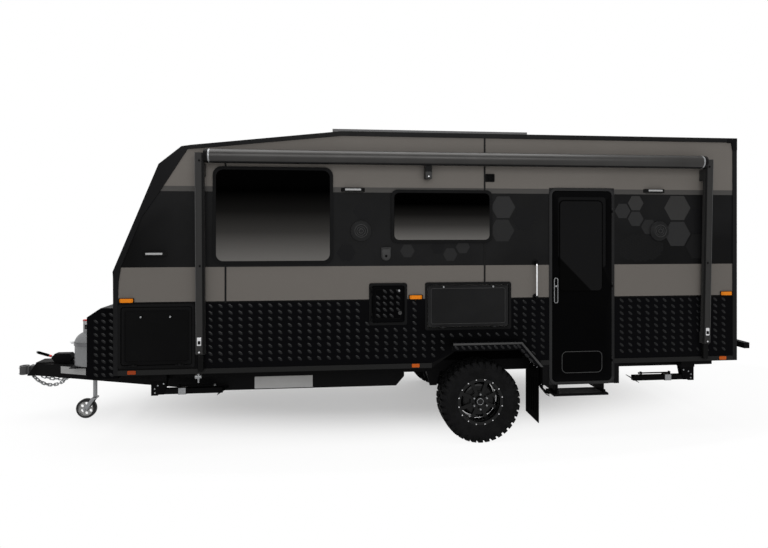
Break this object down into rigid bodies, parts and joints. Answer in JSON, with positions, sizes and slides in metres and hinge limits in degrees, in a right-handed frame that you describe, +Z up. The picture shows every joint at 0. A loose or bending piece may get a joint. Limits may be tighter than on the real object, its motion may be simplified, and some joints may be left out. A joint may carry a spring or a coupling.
{
  "type": "travel caravan",
  "caption": "Single-axle off-road travel caravan with a hollow cabin, opening doors and hatches, trailing-arm suspension, drawbar with jockey wheel and swing-down steadies.",
  "frame": {"origin": "on the ground below the middle of the whole caravan", "axes": "+X from the coupling to the rear bumper, -Y the side with the entry door, +Z up"},
  "size_m": [7.483, 2.5358, 3.055],
  "materials": {
    "painted_taupe": "satin",
    "black_frame": "satin",
    "black_gloss": "gloss",
    "black_plastic": "matte",
    "checker_plate": "semi-gloss",
    "floor_board": "matte",
    "window": "tinted",
    "tyre": "matte",
    "rim": "gloss",
    "galvanised": "zinc plated",
    "gas_white": "satin",
    "rubber": "matte",
    "awning": "satin",
    "solar": "gloss",
    "lamp_clear": "gloss",
    "lamp_amber": "gloss",
    "lamp_red": "gloss",
    "roof_white": "gloss",
    "tank": "matte"
  },
  "bodies": {
    "caravan": {"chassis_rails": "black_frame", "chassis_crossmembers": "black_frame", "drawbar_rails": "black_frame", "drawbar_head": "black_frame", "coupling": "black_frame", "handbrake": "galvanised", "safety_chains": "galvanised", "gas_cylinders": "gas_white", "entry_well": "black_frame", "wheel_boxes": "black_frame", "hatch_frames": "black_plastic", "door_frame": "black_frame", "trailing_arms": "black_frame", "springs": "black_frame", "awning_roller": "awning", "awning_arms": "black_frame", "mouldings": "black_frame", "trims": "black_frame", "checker_panels": "checker_plate", "flares": "checker_plate", "mud_flaps": "rubber", "solar_panels": "solar", "roof_units": "roof_white", "side_fittings": "black_plastic", "rear_bumper": "black_frame", "water_tanks": "tank", "front_wall": "painted_taupe", "roof_panel": "roof_white", "rear_wall": "painted_taupe", "floor_panel": "floor_board", "wall_left": "painted_taupe", "wall_right": "painted_taupe", "window_frames": "black_plastic", "window_panes": "window", "lamps_white": "lamp_clear", "lamps_amber": "lamp_amber", "lamps_red": "lamp_red", "jockey_sleeve": "galvanised", "front_box": "checker_plate"},
    "wheel_left": {"tyre_left": "tyre", "rim_left": "rim"},
    "wheel_right": {"tyre_right": "tyre", "rim_right": "rim"},
    "jockey_leg": {"jockey_leg": "galvanised"},
    "jockey_fork": {"jockey_fork": "galvanised"},
    "jockey_wheel": {"jockey_wheel": "rubber"},
    "entry_door": {"entry_door": "black_gloss", "entry_door_glazing": "window"},
    "boot_door_left": {"boot_door_left": "black_gloss"},
    "boot_door_right": {"boot_door_right": "black_gloss"},
    "table_hatch": {"table_hatch": "black_plastic"},
    "service_hatch": {"service_hatch": "checker_plate"},
    "front_box_lid": {"front_box_lid": "checker_plate"},
    "steady_front_left": {"steady_front_left": "black_frame"},
    "steady_front_right": {"steady_front_right": "black_frame"},
    "steady_rear_left": {"steady_rear_left": "black_frame"},
    "steady_rear_right": {"steady_rear_right": "black_frame"},
    "entry_step": {"entry_step": "black_frame"}
  },
  "joints": [
    {"name": "wheel_left_spin", "type": "hinge", "parent": "caravan", "child": "wheel_left", "pos_m": [0.9365, -1.0225, 0.384], "axis": [0, 1, 0], "continuous": true},
    {"name": "wheel_right_spin", "type": "hinge", "parent": "caravan", "child": "wheel_right", "pos_m": [0.9365, 1.0225, 0.384], "axis": [0, 1, 0], "continuous": true},
    {"name": "jockey_lift", "type": "slide", "parent": "caravan", "child": "jockey_leg", "axis": [0, 0, 1], "range_m": [-0.05, 0.18]},
    {"name": "jockey_swivel", "type": "hinge", "parent": "jockey_leg", "child": "jockey_fork", "pos_m": [-2.9805, 0, 0.222], "axis": [0, 0, 1], "continuous": true},
    {"name": "jockey_wheel_spin", "type": "hinge", "parent": "jockey_fork", "child": "jockey_wheel", "pos_m": [-3.0685, 0, 0.102], "axis": [0, 1, 0], "continuous": true},
    {"name": "entry_door_hinge", "type": "hinge", "parent": "caravan", "child": "entry_door", "pos_m": [2.2215, -1.168, 1.4], "axis": [0, 0, 1], "range_deg": [0, 165]},
    {"name": "boot_door_left_hinge", "type": "hinge", "parent": "caravan", "child": "boot_door_left", "pos_m": [-2.0105, -1.1644, 0.809], "axis": [1, 0, 0], "range_deg": [0, 170]},
    {"name": "boot_door_right_hinge", "type": "hinge", "parent": "caravan", "child": "boot_door_right", "pos_m": [-2.0105, 1.1644, 0.809], "axis": [-1, 0, 0], "range_deg": [0, 170]},
    {"name": "table_hatch_hinge", "type": "hinge", "parent": "caravan", "child": "table_hatch", "pos_m": [0.8125, -1.1644, 1.099], "axis": [1, 0, 0], "range_deg": [0, 90]},
    {"name": "service_hatch_hinge", "type": "hinge", "parent": "caravan", "child": "service_hatch", "pos_m": [-0.0985, -1.1644, 1.3245], "axis": [0, 0, -1], "range_deg": [0, 120]},
    {"name": "front_box_lid_hinge", "type": "hinge", "parent": "caravan", "child": "front_box_lid", "pos_m": [-2.4021, 0, 1.295], "axis": [0, 1, 0], "range_deg": [0, 75]},
    {"name": "steady_front_left_pivot", "type": "hinge", "parent": "caravan", "child": "steady_front_left", "pos_m": [-2.0335, -0.9, 0.51], "axis": [0, 1, 0], "range_deg": [0, 58]},
    {"name": "steady_front_right_pivot", "type": "hinge", "parent": "caravan", "child": "steady_front_right", "pos_m": [-2.0335, 0.9, 0.51], "axis": [0, 1, 0], "range_deg": [0, 58]},
    {"name": "steady_rear_left_pivot", "type": "hinge", "parent": "caravan", "child": "steady_rear_left", "pos_m": [3.1315, -0.9, 0.51], "axis": [0, -1, 0], "range_deg": [0, 58]},
    {"name": "steady_rear_right_pivot", "type": "hinge", "parent": "caravan", "child": "steady_rear_right", "pos_m": [3.1315, 0.9, 0.51], "axis": [0, -1, 0], "range_deg": [0, 58]},
    {"name": "entry_step_slide", "type": "slide", "parent": "caravan", "child": "entry_step", "axis": [0, -1, 0], "range_m": [0, 0.2]}
  ]
}
